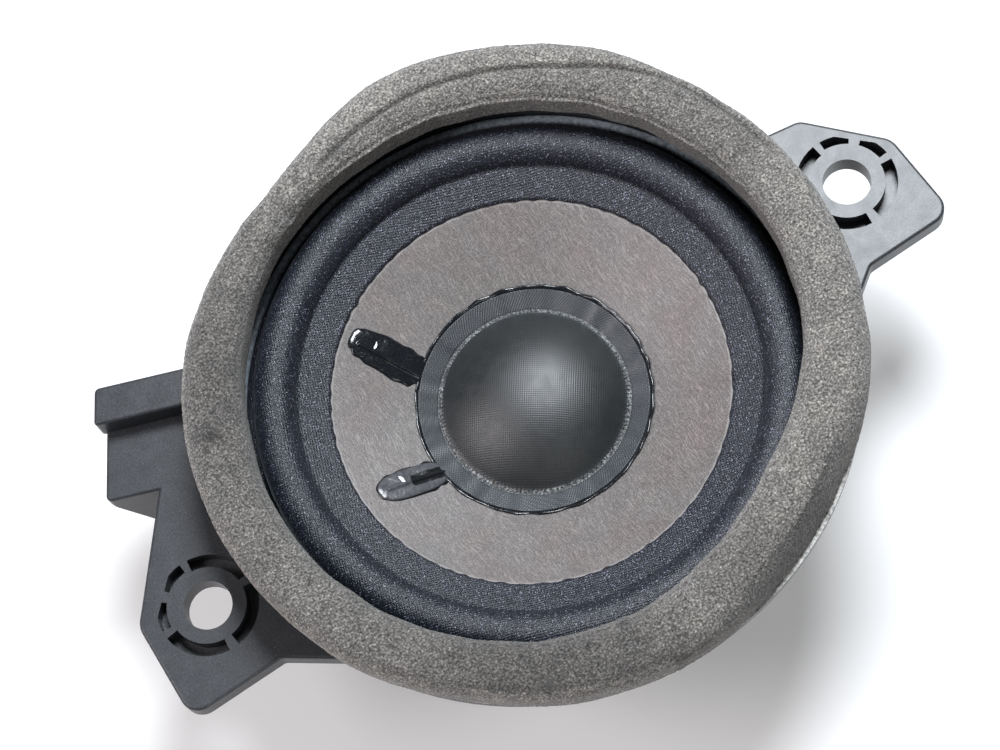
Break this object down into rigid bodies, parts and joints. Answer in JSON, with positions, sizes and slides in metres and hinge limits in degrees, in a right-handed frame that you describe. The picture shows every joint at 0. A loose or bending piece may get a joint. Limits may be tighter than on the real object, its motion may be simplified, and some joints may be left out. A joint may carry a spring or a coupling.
{
  "type": "small car loudspeaker",
  "caption": "Small cone loudspeaker for a dash or door: moulded basket with ears and a side connector, cloth surround, soft domed dust cap, ring magnet and foam gasket.",
  "frame": {"origin": "midway between the two ear holes, on the speaker's axis, in the ears' front face", "axes": "+Z along the speaker's axis, out of the front; +X along the line through the ear holes, away from the connector; it rests on its back plate"},
  "size_m": [0.1215, 0.09, 0.0471],
  "materials": {
    "basket_plastic": "fine moulded grain, satin",
    "gasket_foam": "open-cell foam",
    "gasket_tape": "double-sided tape",
    "ring_plastic": "glossy black",
    "surround_cloth": "coated woven cloth",
    "cone_paper": "pressed paper",
    "cap_cloth": "fine woven cloth, coated",
    "black_glue": "glossy, wet-looking",
    "grey_glue": "glossy black over a thin grey film",
    "enamelled_wire": "enamelled copper",
    "solder": "solder",
    "former_film": "amber film",
    "wrap_paper": "plain paper",
    "clear_glue": "amber glue",
    "spider_cloth": "resin-dipped open weave",
    "tinsel": "braided copper",
    "terminal_metal": "tinned brass",
    "plate_steel": "zinc-plated",
    "motor_glue": "thin glue layer",
    "ferrite": "ground ferrite"
  },
  "bodies": {
    "basket_body": {"basket": "basket_plastic", "foam_gasket": "gasket_foam", "foam_adhesive": "gasket_tape", "clamp_ring": "ring_plastic", "surround": "surround_cloth", "spider": "spider_cloth", "tinsel_lead_upper": "tinsel", "tinsel_lead_lower": "tinsel", "terminal_pin_upper": "terminal_metal", "terminal_pin_lower": "terminal_metal", "solder_joint_upper": "solder", "solder_joint_lower": "solder", "top_plate": "plate_steel", "magnet_glue_front": "motor_glue", "magnet": "ferrite", "magnet_glue_back": "motor_glue", "yoke": "plate_steel"},
    "cone_body": {"cone": "cone_paper", "dust_cap": "cap_cloth", "dust_cap_glue": "black_glue", "lead_glue_upper": "black_glue", "lead_glue_lower": "grey_glue", "coil_lead_upper": "enamelled_wire", "coil_lead_lower": "enamelled_wire", "lead_joint_upper": "solder", "lead_joint_lower": "solder", "coil_former": "former_film", "voice_coil": "enamelled_wire", "former_wrap": "wrap_paper", "neck_glue": "clear_glue", "spider_glue": "clear_glue"}
  },
  "joints": [
    {"name": "cone_travel", "type": "slide", "parent": "basket_body", "child": "cone_body", "axis": [0, 0, 1], "range_m": [-0.003, 0.003], "stiffness_N_per_m": 1100, "deforming": ["surround", "spider", "tinsel_lead_upper", "tinsel_lead_lower"]}
  ]
}
